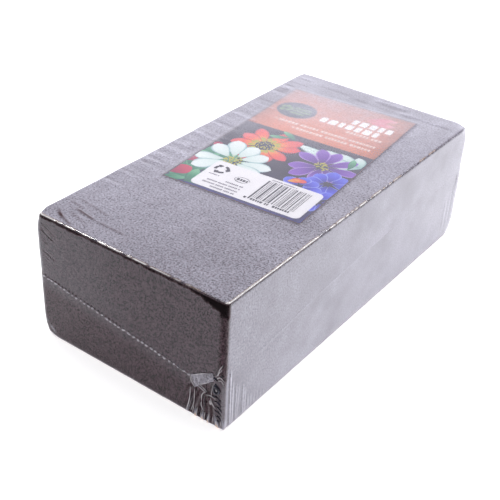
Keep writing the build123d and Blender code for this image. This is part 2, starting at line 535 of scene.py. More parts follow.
def ink(name, stops, streaks=0.0, edge=None, grain=(7.0, 1.0, 1.0)):
    """Offset print on coated board, sealed with a satin varnish. stops are the colours along each shape,
    as (share, colour). Streaks along the shape shift them, and an edge colour shows at its sides."""
    material, tree = new_material(name)
    shares = add_node(tree, "ShaderNodeUVMap", uv_map="shares")
    split = add_node(tree, "ShaderNodeSeparateXYZ", {0: shares.outputs[0]})
    place_on = add_node(tree, "ShaderNodeTexCoord")
    stretch = add_node(tree, "ShaderNodeMapping", {0: shares.outputs[0], "Scale": grain})
    drift = add_node(tree, "ShaderNodeMapping", {0: place_on.outputs["Object"], "Scale": (90, 90, 90)})
    joined = add_node(
        tree, "ShaderNodeVectorMath", {0: stretch.outputs[0], 1: drift.outputs[0]}, operation="ADD"
    )
    fibre = add_node(tree, "ShaderNodeTexNoise", {"Vector": joined.outputs[0], "Scale": 1.6, "Detail": 3.0})
    shift = add_node(tree, "ShaderNodeMath", {0: fibre.outputs[0], 1: -0.5}, operation="ADD")
    place = add_node(
        tree, "ShaderNodeMath",
        {0: shift.outputs[0], 1: streaks, 2: split.outputs["Y"]}, operation="MULTIPLY_ADD",
    )
    ramp = add_node(tree, "ShaderNodeValToRGB", {"Fac": place.outputs[0]})
    ramp.color_ramp.elements.remove(ramp.color_ramp.elements[1])
    ramp.color_ramp.elements[0].position = stops[0][0]
    ramp.color_ramp.elements[0].color = paint(stops[0][1])
    for share, colour in stops[1:]:
        ramp.color_ramp.elements.new(share).color = paint(colour)
    colour = ramp.outputs[0]
    if edge:
        aside = add_node(tree, "ShaderNodeMath", {0: split.outputs["X"], 1: 0.5}, operation="SUBTRACT")
        away = add_node(tree, "ShaderNodeMath", {0: aside.outputs[0]}, operation="ABSOLUTE")
        rim = add_node(
            tree, "ShaderNodeMapRange",
            {"Value": away.outputs[0], "From Min": 0.36, "From Max": 0.48, "To Max": 0.9},
        )
        blend = add_node(
            tree, "ShaderNodeMix", {"Factor": rim.outputs[0], 6: colour, 7: paint(edge)}, data_type="RGBA"
        )
        colour = blend.outputs[2]
    dots = add_node(
        tree, "ShaderNodeTexNoise",
        {"Vector": place_on.outputs["Object"], "Scale": 1 / (DOTS * MM), "Detail": 2.0},
    )
    screen = add_node(
        tree, "ShaderNodeMix", {"Factor": 0.12, 6: colour, 7: dots.outputs["Color"]},
        data_type="RGBA", blend_type="SOFT_LIGHT",
    )
    shader = add_node(
        tree, "ShaderNodeBsdfPrincipled",
        {"Base Color": screen.outputs[2], "Roughness": 0.42, "Specular IOR Level": 0.4},
    )
    finish_material(tree, shader)
    return material


# The card itself, in its terracotta head colour, and the picture's dark ground.
HEAD_END = 53.4
terracotta = ink("terracotta_print", [(0.0, "#E0A182"), (0.4, "#E8966B")], streaks=0.05)
card = print_on_card("card", [block(0, 0, *CARD_SIZE)], terracotta, 0.0)
board = card.modifiers.new("board", "SOLIDIFY")
board.thickness = BOARD * MM
board.offset = -1
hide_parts("label_card")
ground = ink(
    "picture_ground_print", [(0.0, "#3E3A4A"), (0.5, "#2B2338"), (0.85, "#2F2A5A"), (1.0, "#4B4A8E")],
    streaks=0.5, grain=(6.0, 5.0, 1.0),
)
print_on_card("print_picture_ground", [block(0, HEAD_END, *CARD_SIZE)], ground, 0.004)

# Head: a badge with a plain flower, an oval ornament, and wording shown by bars.
slate = ink("slate_print", [(0.0, "#4B5866"), (1.0, "#3A4654")], streaks=0.3)
leaf_green = ink("leaf_green_print", [(0.0, "#5F8F5A"), (1.0, "#A9C48A")], streaks=0.3)
white_ink = ink("white_print", [(0.0, "#FFFFFF"), (1.0, "#FFFFFF")])
pink = ink("pink_print", [(0.0, "#F2A9B0"), (0.5, "#E8737F"), (1.0, "#F6C4C8")], streaks=0.4)
print_on_card("print_badge", [disc((15.0, 25.5), 11.8, 0.86)], slate, 0.008)
badge_bars = ((22.0, 23.2), (25.2, 24.2), (28.4, 21.6))  # top and right end of each
badge_print = [block(12.6, top, end, top + 1.6, 0.7) for top, end in badge_bars]
badge_print += flower(np.array([8.4, 25.8]), 4.2, 5, 3.0, 90, 35, 0.8)
print_on_card("print_badge_marks", badge_print, leaf_green, 0.014, 0.001)
ornament = [petal(np.array([53.0, 12.5]), angle, 17.5, 4.6, bend) for angle, bend in ((4, 40), (22, -40))]
print_on_card("print_ornament", ornament + [disc((61.0, 9.8), 3.2, 0.8)], pink, 0.008, 0.001)
headline = words(47.6, 71.8, 16.2, 6.2, 3) + words(31.4, 71.8, 23.9, 6.2, 4)
print_on_card("print_headline", headline, white_ink, 0.010)
pale = ink("pale_wording_print", [(0.0, "#F6E3DA"), (1.0, "#F6E3DA")])
small_lines = words(50.2, 71.8, 31.6, 2.5, 5) + words(12.5, 72.0, 39.7, 2.4, 6)
small_lines += words(26.0, 72.0, 44.6, 2.4, 7) + [disc((10.6, 40.9), 0.8), disc((24.2, 45.8), 0.8)]
print_on_card("print_small_lines", small_lines, pale, 0.010)

# Picture: garden flowers, each petal its own shape, from the back of the bunch to the front.
green_leaf = ink("green_leaf_print", [(0.0, "#2B735F"), (0.5, "#4DA67E"), (1.0, "#93D6AC")], 0.6, "#3A8371")
mint = ink("mint_petal_print", [(0.0, "#A3D0C8"), (0.5, "#DDF1EC"), (1.0, "#F6FCFB")], 0.4, "#8FBFBC")
flame = ink(
    "flame_petal_print",
    [(0.0, "#FAD53F"), (0.34, "#FBA94A"), (0.55, "#F7744F"), (1.0, "#F2606E")], 0.5, "#C63C4A",
)
purple = ink("purple_petal_print", [(0.0, "#56288A"), (0.45, "#8849C0"), (1.0, "#A974DE")], 0.5, "#D3B2F2")
blue = ink("blue_petal_print", [(0.0, "#3A38AC"), (0.5, "#5B60E6"), (1.0, "#8490FB")], 0.5, "#B4C0FF")
white_petal = ink("white_petal_print", [(0.0, "#B5CE78"), (0.2, "#E6F3EF"), (1.0, "#FBFFFF")], 0.3, "#9FC6CC")
bud_pink = ink("bud_print", [(0.0, "#A8305A"), (1.0, "#E24C6C")], 0.5)
dark_heart = ink("dark_heart_print", [(0.0, "#4A5068"), (1.0, "#2E2F42")], 0.5)
pollen = ink("pollen_print", [(0.0, "#E8D23C"), (1.0, "#B7BE3E")], 0.5)

leaf_draw = np.random.default_rng(31)
leaves = [
    petal((leaf_draw.uniform(-3, 13), leaf_draw.uniform(102, 134)), leaf_draw.uniform(20, 160), 15, 6.5,
          leaf_draw.uniform(-30, 30))
    for _ in range(40)
]
leaves += [petal((34, 60), 150, 13, 4, 20), petal((30, 58), 200, 12, 4, -20), petal((71, 72), 100, 12, 4, 20)]
print_on_card("print_leaves", leaves, green_leaf, 0.006, 0.0005)
print_on_card("print_buds", [petal((-2, 112), 60, 12, 9), petal((-1, 127), 55, 13, 10), disc((2.5, 87), 2.5)],
              bud_pink, 0.026, 0.001)
mint_petals = [
    petal((76, 67), angle, length, width, bend)
    for angle, length, width, bend in (
        (172, 40, 7.5, -16), (163, 26, 8, -10), (150, 18, 7, -10),
        (182, 22, 7, 14), (120, 12, 7, 0), (205, 14, 7, 20),
    )
]
print_on_card("print_mint_petals", mint_petals, mint, 0.010, 0.001)
PURPLE_HEART, FLAME_HEART, WHITE_HEART = np.array([[58.7, 76.6], [23.4, 74.2], [18.5, 98.0]])
print_on_card("print_purple_petals", flower(PURPLE_HEART, 20.0, 9, 7.6, 40, 41), purple, 0.018, 0.001)
print_on_card("print_flame_petals", flower(FLAME_HEART, 20.5, 10, 8.2, 15, 42), flame, 0.020, 0.001)
print_on_card("print_flame_yellow", flower(FLAME_HEART, 9.5, 14, 2.6, 0, 43, 3.5), pollen, 0.031, 0.0005)
print_on_card("print_dark_hearts", [disc(FLAME_HEART, 5.2), disc(PURPLE_HEART, 3.2)], dark_heart, 0.039)
hearts = specks(FLAME_HEART, 5.0, 40, 0.45, 44) + specks(PURPLE_HEART, 4.2, 34, 0.6, 45)
print_on_card("print_heart_specks", hearts, pollen, 0.040, 0.0001)
blue_petals = flower(np.array([70.0, 91.0]), 13.5, 8, 8.0, 10, 46)
blue_petals += flower(np.array([60.0, 101.5]), 11.5, 7, 7.5, 0, 47)
blue_petals += flower(np.array([74.0, 109.0]), 11.0, 6, 7.0, 20, 48)
print_on_card("print_blue_petals", blue_petals, blue, 0.032, 0.001)
print_on_card("print_ember", [petal((52, 100), 40, 8, 5), petal((54, 97), 10, 7, 4)], flame, 0.055, 0.001)
white_flower = flower(WHITE_HEART, 22.5, 10, 9.6, 8, 49, 2.5, 0.68)
print_on_card("print_white_petals", white_flower, white_petal, 0.046, 0.001)
print_on_card("print_white_heart", specks(WHITE_HEART, 4.8, 60, 0.6, 50), pollen, 0.059, 0.0001)
print_on_card("print_white_heart_shade", specks(WHITE_HEART, 6.0, 26, 0.4, 51), green_leaf, 0.066, 0.0001)

# Panel: white, with a loop of three arrows, a plain round mark, a column of wording and a bar code.
panel_white = ink("panel_white_print", [(0.0, "#FDFBFD"), (1.0, "#FBF9FC")])
black_ink = ink("black_print", [(0.0, "#2A2730"), (1.0, "#2A2730")])
grey_ink = ink("grey_wording_print", [(0.0, "#77727F"), (1.0, "#77727F")])
print_on_card("print_panel", [block(13.2, 101.8, 74.6, 129.3, 3.0)], panel_white, 0.070)


def arc(centre, radius, start, end, half_width, squash=1.0):
    """A bent bar along part of an oval, between two angles in degrees, that tapers at its end."""
    angle = np.radians(np.linspace(start, end, 13))
    path = np.column_stack([centre[0] + radius * np.cos(angle), centre[1] - radius * squash * np.sin(angle)])
    return band(path, half_width * np.interp(np.linspace(0, 1, 13), [0, 0.6, 0.62, 1], [0.7, 0.7, 1.5, 0.1]))


loop = [arc((19.6, 109.6), 3.4, start, start - 100, 1.15) for start in (80, 200, 320)]
mark = [arc((34.0, 113.0), 4.2, 10, 350, 0.22, 0.62)] + words(31.0, 37.2, 112.1, 1.9, 8)
print_on_card("print_panel_marks", loop + mark, black_ink, 0.074)
panel_lines = []
for seed, (top, length) in enumerate(((118.4, 10.0), (121.2, 19.0), (123.9, 20.0), (126.5, 14.0))):
    panel_lines += words(38.2 - length, 38.2, top, 1.1, seed)
panel_lines += words(16.4, 22.4, 115.6, 0.9, 9) + words(46.0, 60.0, 103.4, 0.9, 10)
print_on_card("print_panel_wording", panel_lines, grey_ink, 0.074)
bar_draw = np.random.default_rng(52)
bars, place = [], 45.0
while place < 70.0:
    width = bar_draw.choice([0.3, 0.3, 0.6, 0.9])
    guard = place < 46.0 or place > 69.4 or abs(place - 57.8) < 0.5
    bars.append(block(place, 105.3, place + width, 126.2 if guard else 124.4))
    place += width + bar_draw.choice([0.4, 0.7, 0.7, 1.0])
for start, end, seed in ((46.6, 57.0, 11), (58.8, 69.0, 12), (42.9, 44.4, 13)):
    bars += words(start, end, 125.0, 1.7, seed)
print_on_card("print_bar_code", bars, black_ink, 0.074)

# ------------------------------------------------------------------------------------------------
# Film. One web of clear polyolefin shrink film, 0.025 mm thick, folded along the brick's right side and
# welded along the other three, then shrunk tight in hot air. It clings to the flat faces, bridges the
# edges, and puckers at the welds and at the ends of the fold.

film_high = np.array(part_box("film_upper_leaf")[1]) / MM
film_low = np.array(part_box("film_lower_leaf")[0]) / MM
FILM_UPRIGHT_RADIUS = 2.7
FILM_EDGE_RADIUS = 1.4
FOAM_SIZE = (111.5, 220.0)
LINE_LEFT = (35.3, 34.0)  # height of the line between the leaves on the left side, at front and back
FOLD_FRONT = 28.5
FOLD_RISE = 13.0
FOLD_BEND = 2.5  # how soon the fold climbs
EAR_PLACE = 0.82  # of the way across an end, from the left
EAR_PULL = 7.0
EAR_FADE = 12.0  # how soon the pull of the ears is gone along the brick


def leaf_line(x, y):
    """Height of the line where the two leaves meet, as the frame has it: straight along the left side,
    climbing along the fold at the right by 1 - exp(-bend * share), blended straight across between the
    two, and drawn down in a V to the ears, by a pull that fades as exp(-fade * share) from both ends."""
    across, along = (np.clip(place / size + 0.5, 0, 1) for place, size in zip((x, y), FOAM_SIZE))
    left = LINE_LEFT[0] + (LINE_LEFT[1] - LINE_LEFT[0]) * along
    fold = FOLD_FRONT + FOLD_RISE * (1 - np.exp(-FOLD_BEND * along))
    pull = np.minimum(across / EAR_PLACE, (1 - across) / (1 - EAR_PLACE))
    near = np.exp(-EAR_FADE * along) + np.exp(-EAR_FADE * (1 - along))
    return left + (fold - left) * across - EAR_PULL * pull * near


def crease(across, along, start, end, width, fade=4.0):
    """A crease from start to end in two coordinates of a face: exp(-(d/width)^2), where d is how far a
    point is from the line, fading to 0 over the last fade mm at both ends."""
    way = np.subtract(end, start)
    length = np.hypot(*way)
    ahead = ((across - start[0]) * way[0] + (along - start[1]) * way[1]) / length
    aside = ((across - start[0]) * way[1] - (along - start[1]) * way[0]) / length
    ends = np.clip(ahead / fade, 0, 1) * np.clip((length - ahead) / fade, 0, 1)
    return ends * np.exp(-((aside / width) ** 2))


def creases(across, along, rows):
    """Sum of creases, each given as (strength, start, end, width)."""
    return sum(strength * crease(across, along, start, end, width) for strength, start, end, width in rows)


crease_draw = np.random.default_rng(61)
# Right side, (y, z): ridges that fan down from the front ear, weaker with every step, and the fold line.
side_ridges = []
for step in range(13):
    place = -108.9 + 2.35 * step + crease_draw.uniform(-0.5, 0.5)
    reach = 37 * np.exp(-0.13 * step) * crease_draw.uniform(0.7, 1.05)
    strength = 0.34 * np.exp(-0.15 * step) * crease_draw.uniform(0.6, 1.2)
    side_ridges.append((strength, (place, reach), (place + crease_draw.uniform(-1.2, 0.6), -2), 0.62))
fold_line = [
    (0.12, (-88, 29.8), (-40, 35.4), 0.5), (0.10, (-44, 35.2), (4, 38.6), 0.5),
    (0.06, (0, 38.4), (60, 40), 0.5),
]
# Top, (x, y): dark creases behind the front left corner, painted as shade, and faint ones at the left and far
# edges, painted as light and dark lines.
top_creases = [
    (0.40, (-45.0, -95.6), (-28.5, -98.3), 0.7), (0.22, (-30.0, -98.0), (-9.0, -98.4), 0.8),
    (0.34, (-49.0, -103.0), (-34.0, -108.4), 0.7), (0.30, (-51.5, -100.0), (-42.0, -106.5), 0.8),
    (0.20, (-52.0, -92.0), (-40.0, -94.0), 0.7), (0.18, (-50.0, -88.0), (-26.0, -91.5), 0.8),
    (0.20, (-53.0, -104.5), (-47.0, -109.0), 0.6), (0.16, (-46.0, -99.0), (-30.0, -103.0), 0.9),
]
LEFT_RIM, RIGHT_RIM = -55.4, 55.6  # x where the creases of the top begin
faint_creases = []
for _ in range(34):
    start = crease_draw.uniform(-70, 104)
    reach = crease_draw.uniform(8, 24)
    strength = crease_draw.uniform(-0.09, 0.13)
    end = (LEFT_RIM + reach, start + crease_draw.uniform(-2.5, 1.0))
    faint_creases.append((strength, (LEFT_RIM, start), end, 1.1))
for _ in range(12):
    start = crease_draw.uniform(-44, 30)
    back_place = crease_draw.uniform(92, 108)
    reach = crease_draw.uniform(14, 30)
    strength = crease_draw.uniform(-0.08, 0.12)
    end = (start + reach, back_place + crease_draw.uniform(-1, 1))
    faint_creases.append((strength, (start, back_place), end, 1.1))
right_streaks = []
for place in crease_draw.uniform(-62, -20, 9):
    strength = crease_draw.uniform(0.2, 0.5)
    end = (RIGHT_RIM - crease_draw.uniform(2, 5), place - crease_draw.uniform(4, 11))
    right_streaks.append((strength, (RIGHT_RIM, place), end, 0.4))
# Front, (x, z): fine slanting creases below the top left corner and an arc in the bottom left one.
front_creases = []
for height in np.linspace(67, 40, 13):
    strength = crease_draw.uniform(0.10, 0.22)
    end = (-55.5 + crease_draw.uniform(6, 15), height - crease_draw.uniform(3, 8))
    front_creases.append((strength, (-55.5, height), end, 0.5))
corner_arc = [(0.4, (-55.0, 11.5), (-52.6, 7.0), 0.5), (0.4, (-53.0, 7.6), (-47.5, 2.6), 0.5)]
# Top again: fine streaks between the faint creases at the left edge.
streak_draw = np.random.default_rng(62)
for _ in range(44):
    start = streak_draw.uniform(-62, 106)
    end = (LEFT_RIM + streak_draw.uniform(6, 22), start - streak_draw.uniform(-0.8, 2.6))
    faint_creases.append((streak_draw.uniform(-0.11, 0.11), (LEFT_RIM, start), end, 0.65))


STITCH = 2.3  # mm between puckers of the end welds


def film_shape(points, normals):
    """How the film lies at each point, worked out face by face: its lift in mm off the tight shape, its
    cling (1 where it hazes over the foam as usual, 0 where it stands clear), its cover (0 to 1, where it
    is doubled or folded and hides the foam), and the tone of that cover, from -1, black, to 1, white.
    Cling, cover and tone also carry painted highlights, glints and shade, face by face."""
    x, y, z = points.T
    top, front, right = (np.clip(n, 0, 1) ** 2 for n in (normals[:, 2], -normals[:, 1], normals[:, 0]))
    left, back, under = (np.clip(n, 0, 1) ** 2 for n in (-normals[:, 0], normals[:, 1], -normals[:, 2]))
    edge = 1 - np.max(abs(normals), axis=1)
    over_line = z - leaf_line(x, y)

    lift = 0.04 * noise(points, 14, 21) + 0.025 * noise(points, 5, 22)
    cling = 1 + 0.12 * noise(points, 20, 23) + 0.10 * noise(points, 6, 24)
    cover, tone = np.zeros(len(points)), np.zeros(len(points))

    # Edges: the film bridges them, with small puckers that break up the glints.
    puckers = noise(points * (1, 1, 0.4), 1.7, 25) + 0.7 * noise(points, 0.9, 26)
    lift += edge * (0.16 + 0.22 * puckers)
    far_rims = np.clip((-x - 51) / 4, 0, 1) + np.clip((y - 105) / 4, 0, 1)
    lift += 0.9 * edge * far_rims * noise(points * (1, 1, 0.3), 8, 36)

    # Top: the card lifts it by its thickness; creases.
    u = (x - card_centre[0]) * np.cos(CARD_TURN) + (y - card_centre[1]) * np.sin(CARD_TURN)
    v = (y - card_centre[1]) * np.cos(CARD_TURN) - (x - card_centre[0]) * np.sin(CARD_TURN)
    outside = np.hypot(np.maximum(abs(u) - CARD_SIZE[0] / 2, 0), np.maximum(abs(v) - CARD_SIZE[1] / 2, 0))
    over_card = np.exp(-((outside / 1.2) ** 2))
    lift = lift * (1 - 0.6 * top * over_card) + top * (0.06 * over_card - 0.16 * (1 - over_card))
    dark = creases(x, y, top_creases) + 0.5 * creases(x, y, right_streaks)
    faint = creases(x, y, faint_creases)
    lift += top * (0.5 * dark + faint)
    down_card = np.clip(0.5 - v / CARD_SIZE[1], 0, 1)
    cling *= 1 - top * over_card * (0.64 - 0.60 * (1 - down_card) ** 1.6)
    cling *= 1 - 0.24 * top * over_card * (1 - down_card) * np.clip(u / 30, 0, 1)
    # Painted light and shade: the faint creases are lighter or darker lines of haze, and the dark creases are
    # near-black painted shade.
    cling += top * (2.2 * faint - 0.8 * dark + 0.06 * np.exp(-(((y + 20) / 70) ** 2)))
    cover += top * 0.5 * dark
    tone -= top * np.minimum(dark * 1.1, 1)

    # Right side: ridges under the fold near the front ear, and the fold's own soft line; extra haze paints
    # both lighter, as painted highlights.
    ridges = creases(y, z, side_ridges)
    fold = creases(y, z, fold_line)
    lift += right * (ridges + 0.6 * fold)
    cling *= 1 - 0.16 * right
    clearer = 0.2 * np.exp(-(((y + 106) / 12) ** 2)) * np.clip((36 - z) / 12, 0, 1)
    cling += right * (1.3 * ridges - clearer + fold)
    # The same ridges, mirrored, fan down from the back ear.
    lift += right * creases(-y, z - 8, side_ridges)

    # Front: a dark band under the top edge, where the film stands off in the shade, that widens to a
    # triangle at the right. Its lower edge is ragged. A dark strip runs down beside the right edge.
    band_depth = 1.5 + 6.5 * np.clip((x - 34) / 21, 0, 1) ** 1.8
    ragged = 0.9 * noise(points * (1, 0, 1), 2.2, 27) + 0.5 * noise(points * (1, 0, 0.35), 0.8, 35)
    ragged = ragged * np.clip(band_depth / 3, 0.45, 1)
    in_band = np.clip((z - (film_high[2] - 1.0 - band_depth - ragged)) / 2.2, 0, 1) * (z < film_high[2] - 0.6)
    cling *= 1 - front * in_band
    cover += front * 0.95 * in_band
    tone -= front * in_band * 1.7
    edge_shade = front * np.clip((x - 51) / 4, 0, 1) * np.clip((z - 22) / 15, 0, 1)
    cling *= 1 - 0.6 * edge_shade
    cover += 0.18 * edge_shade
    tone -= 1.4 * edge_shade
    # Slanting creases, with a painted highlight on their upper side and painted shade on their lower side,
    # and the corner's arc, painted light as its highlight.
    arc_light = front * creases(x, z, corner_arc)
    lift += front * creases(x, z, front_creases) + arc_light
    light_side = front * creases(x, z - 0.5, front_creases)
    dark_side = front * creases(x, z + 0.5, front_creases)
    cover += 0.5 * light_side + 1.6 * dark_side + 1.6 * arc_light
    tone += 0.8 * light_side - 4.5 * dark_side + 2.0 * arc_light

    # Both ends: the film's haze is cut nearly away, a little less at the left, as painted shade that keeps
    # the ends darker than the top and sides.
    ends = front + back
    cling *= 1 - ends * (0.9 - 0.09 * np.clip((10 - x) / 60, 0, 1))
    # The lower leaf is doubled over the ends' lower half and a little browner there.
    doubled = ends * np.clip(-over_line / 7, 0, 1)
    cover += 0.06 * doubled
    tone -= 0.40 * doubled
    # Puckers along the weld, each with a dark spot of painted shade 1 mm above the weld line.
    stitch = 0.5 + 0.5 * np.sin(2 * np.pi * x / STITCH + 1.6 * noise(points, 5, 28))
    by_weld = np.exp(-((over_line / 1.6) ** 2))
    lift += ends * 0.16 * by_weld * stitch
    spots = ends * np.exp(-(((over_line - 1.0) / 0.6) ** 2)) * np.clip(2.4 * stitch - 1.0, 0, 1)
    spots = spots * np.clip(1.2 - (x + 56) / 110, 0.4, 1)
    cover += 0.85 * spots
    tone -= 1.6 * spots

    # Below the ears: pleats that fan out from the ear to the bottom edge, painted light and dark by turns as
    # their highlights and shade.
    fan = np.arctan2(x - 46.5, np.maximum(31 - z, 0.5))
    wave = np.sin(46 * fan + 1.6 * noise(points * (1, 0, 0.5), 4, 29))
    gathered = ends * np.clip((x - 33.5) / 4, 0, 1) * np.clip((leaf_line(x, y) - z) / 6, 0, 1)
    near_hem = gathered * np.exp(-((z / 5.0) ** 2))
    beside = gathered * np.clip((x - 47.5) / 3, 0, 1)
    lift += gathered * 0.07 * wave + near_hem * 0.28 * wave
    cover += near_hem * (0.34 + 0.34 * wave) + gathered * 0.08 + beside * 0.16
    tone += near_hem * (0.30 + 0.45 * wave) - (gathered - beside) * (0.30 - 0.3 * wave)
    cling += gathered * 0.15 * wave

    # Glints: along the front and right top edges, where the film is creased sharply over them, painted white
    # dashes stand in for glints.
    on_rim = np.clip(1 - abs(normals[:, 2] - 0.82) / 0.165, 0, 1)
    front_rim = on_rim * (normals[:, 1] < -0.2) * np.clip((48 - x) / 42, 0.1, 1) * (x < 44)
    right_rim = 0.9 * on_rim * (normals[:, 0] > 0.2) * np.clip((70 - y) / 90, 0.35, 1)
    along_front = points * (1, 0, 0)
    front_dash = 0.45 - 0.005 * (x + 20) + 2.6 * noise(along_front, 1.4, 31) + 1.2 * noise(along_front, 7, 32)
    front_dash = np.clip(front_dash, 0, 1)
    right_dash = np.clip(1.5 - (y + 40) / 45 + 2.2 * noise(points * (0, 1, 0), 2.0, 33), 0, 1)
    painted_glint = front_rim * front_dash + right_rim * right_dash
    cover += 0.95 * painted_glint
    glint_white = np.clip(painted_glint * 2, 0, 1)
    tone = tone * (1 - glint_white) + glint_white

    # Hems: where it turns under the brick it is milky and a little warm, pleats apart.
    hem = (np.clip(2 * (front + left + back), 0, 1) + 0.3 * right) * np.exp(-((z / 1.3) ** 2))
    cover += 0.42 * hem
    plain_hem = np.clip(hem, 0, 1) * (1 - gathered)
    tone = tone * (1 - plain_hem) + 0.27 * plain_hem + 0.24 * hem * gathered
    # Round every edge it bridges, it stays clear of the foam.
    cling *= 1 - 0.35 * edge * (1 - under)
    return lift, np.clip(cling, 0, 4), np.clip(cover, 0, 0.97), np.clip(tone, -1, 1)


# Shrunk polyolefin: clear and glossy straight on, but its fine dents and the air under it scatter light,
# so at a slant it looks milky. The milky share is 1.42 * facing^1.6 * cling * (1 + speckle) + cover.
film_material, tree = new_material("polyolefin_shrink_film")
place_on = add_node(tree, "ShaderNodeTexCoord")
facing = add_node(tree, "ShaderNodeLayerWeight", {"Blend": 0.5})
cling = add_node(tree, "ShaderNodeAttribute", attribute_name="cling")
cover = add_node(tree, "ShaderNodeAttribute", attribute_name="cover")
tone = add_node(tree, "ShaderNodeAttribute", attribute_name="tone")
# The speckle is the foam's cells, pressed into the film. It fades at a slant and where the film is clear.
SPECKLE = 0.95  # mm; drawn coarser than the cells so that it shows
cell_prints = add_node(
    tree, "ShaderNodeTexNoise",
    {"Vector": place_on.outputs["Object"], "Scale": 1 / (SPECKLE * MM), "Detail": 1.5, "Roughness": 0.8},
)
swing = add_node(
    tree, "ShaderNodeMapRange",
    {"Value": cell_prints.outputs[0], "From Min": 0.3, "From Max": 0.7, "To Min": -0.62, "To Max": 0.62},
)
fade = add_node(
    tree, "ShaderNodeMapRange",
    {"Value": facing.outputs["Facing"], "From Min": 0.42, "From Max": 0.62, "To Min": 1.0, "To Max": 0.25},
)
settled = add_node(
    tree, "ShaderNodeMapRange",
    {"Value": cling.outputs["Fac"], "From Min": 0.55, "From Max": 0.9, "To Min": 0.15, "To Max": 1.0},
)
faded = add_node(tree, "ShaderNodeMath", {0: fade.outputs[0], 1: settled.outputs[0]}, operation="MULTIPLY")
speckle = add_node(
    tree, "ShaderNodeMath", {0: swing.outputs[0], 1: faded.outputs[0], 2: 1.0}, operation="MULTIPLY_ADD"
)
steep = add_node(tree, "ShaderNodeMath", {0: facing.outputs["Facing"], 1: 1.6}, operation="POWER")
slant = add_node(tree, "ShaderNodeMath", {0: steep.outputs[0], 1: 1.42}, operation="MULTIPLY")
hazed = add_node(tree, "ShaderNodeMath", {0: slant.outputs[0], 1: cling.outputs["Fac"]}, operation="MULTIPLY")
milky = add_node(
    tree, "ShaderNodeMath", {0: hazed.outputs[0], 1: speckle.outputs[0], 2: cover.outputs["Fac"]},
    operation="MULTIPLY_ADD", use_clamp=True,
)
# The milky share's colour by tone: black for painted shade, brown where doubled, cool haze, warm hems, white
# for painted glints and highlights.
shade = add_node(
    tree, "ShaderNodeMapRange", {"Value": tone.outputs["Fac"], "From Min": -1.0, "From Max": 1.0}
)
milk_colour = add_node(tree, "ShaderNodeValToRGB", {"Fac": shade.outputs[0]})
milk_colour.color_ramp.elements[0].color = paint("#120A0D")
milk_colour.color_ramp.elements[1].color = paint("#FFFFFF")
for place, colour in ((0.5, "#E2E0F2"), (0.25, "#62494C"), (0.62, "#F3D0B2"), (0.72, "#F6F2FA")):
    milk_colour.color_ramp.elements.new(place).color = paint(colour)
clear = add_node(tree, "ShaderNodeBsdfTransparent", {"Color": paint("#FBFBFC")})
haze = add_node(
    tree, "ShaderNodeBsdfPrincipled",
    {"Base Color": milk_colour.outputs[0], "Roughness": 0.5, "Specular IOR Level": 0.0},
)
body = add_node(tree, "ShaderNodeMixShader", {0: milky.outputs[0], 1: clear.outputs[0], 2: haze.outputs[0]})
# Its gloss is that of plastic, but weaker where the tone paints shade and where the film stands clear in
# shade.
gloss = add_node(tree, "ShaderNodeBsdfGlossy", {"Color": paint("#FFFFFF"), "Roughness": 0.08})
mirror = add_node(tree, "ShaderNodeFresnel", {"IOR": 1.5})
dim_in_shade = add_node(
    tree, "ShaderNodeMapRange",
    {"Value": tone.outputs["Fac"], "From Min": -1.0, "From Max": -0.2, "To Min": 0.1},
)
close = add_node(
    tree, "ShaderNodeMapRange",
    {"Value": cling.outputs["Fac"], "From Min": 0.1, "From Max": 0.34, "To Min": 0.5},
)
even = add_node(tree, "ShaderNodeMath", {0: dim_in_shade.outputs[0], 1: close.outputs[0]}, operation="MULTIPLY")
glossy = add_node(tree, "ShaderNodeMath", {0: mirror.outputs[0], 1: even.outputs[0]}, operation="MULTIPLY")
shader = add_node(
    tree, "ShaderNodeMixShader", {0: glossy.outputs[0], 1: body.outputs[0], 2: gloss.outputs[0]}
)
finish_material(tree, shader)

# Each leaf is one open sheet: two faces 0.025 mm apart would only show the haze twice. Its grid is finer
# at the front and at the right, where the creases are.
film_half = film_high[:2] - FILM_UPRIGHT_RADIUS
film_xs = lines((-film_half[0], 33, 1.1), (33, film_half[0], 0.45))
film_ys = lines((-film_half[1], -78, 0.42), (-78, film_half[1], 1.0))
OVER_TABLE = 0.03  # mm
for name, side, face, rows in (
    ("film_upper_leaf", 1, film_high[2], 58),
    ("film_lower_leaf", -1, film_low[2], 52),
):
    points, normals, faces = block_half(
        side, face, film_xs, film_ys, FILM_UPRIGHT_RADIUS, FILM_EDGE_RADIUS, leaf_line, rows,
    )
    lift, cling_share, cover_share, tone_share = film_shape(points, normals)
    lift = (lift + square_up(points, normals, FILM_UPRIGHT_RADIUS)) * (points[:, 2] >= 0.05)
    points = press_corners(points + normals * lift[:, None])
    points[:, 2] = np.maximum(points[:, 2], OVER_TABLE)
    leaf = new_mesh(name.replace("film", "shrink_film"), points, faces, film_material)
    for attribute, values in (("cling", cling_share), ("cover", cover_share), ("tone", tone_share)):
        at_points = leaf.data.attributes.new(attribute, "FLOAT", "POINT")
        at_points.data.foreach_set("value", values.astype(np.float32))
    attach(leaf, "root")
    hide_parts(name)

# ------------------------------------------------------------------------------------------------
# Welds. A hot bar cut the web and joined its two leaves in one pass, which left a thin bead of melted
# film along the front end, the back end and the left side, torn into dashes where it shrank.


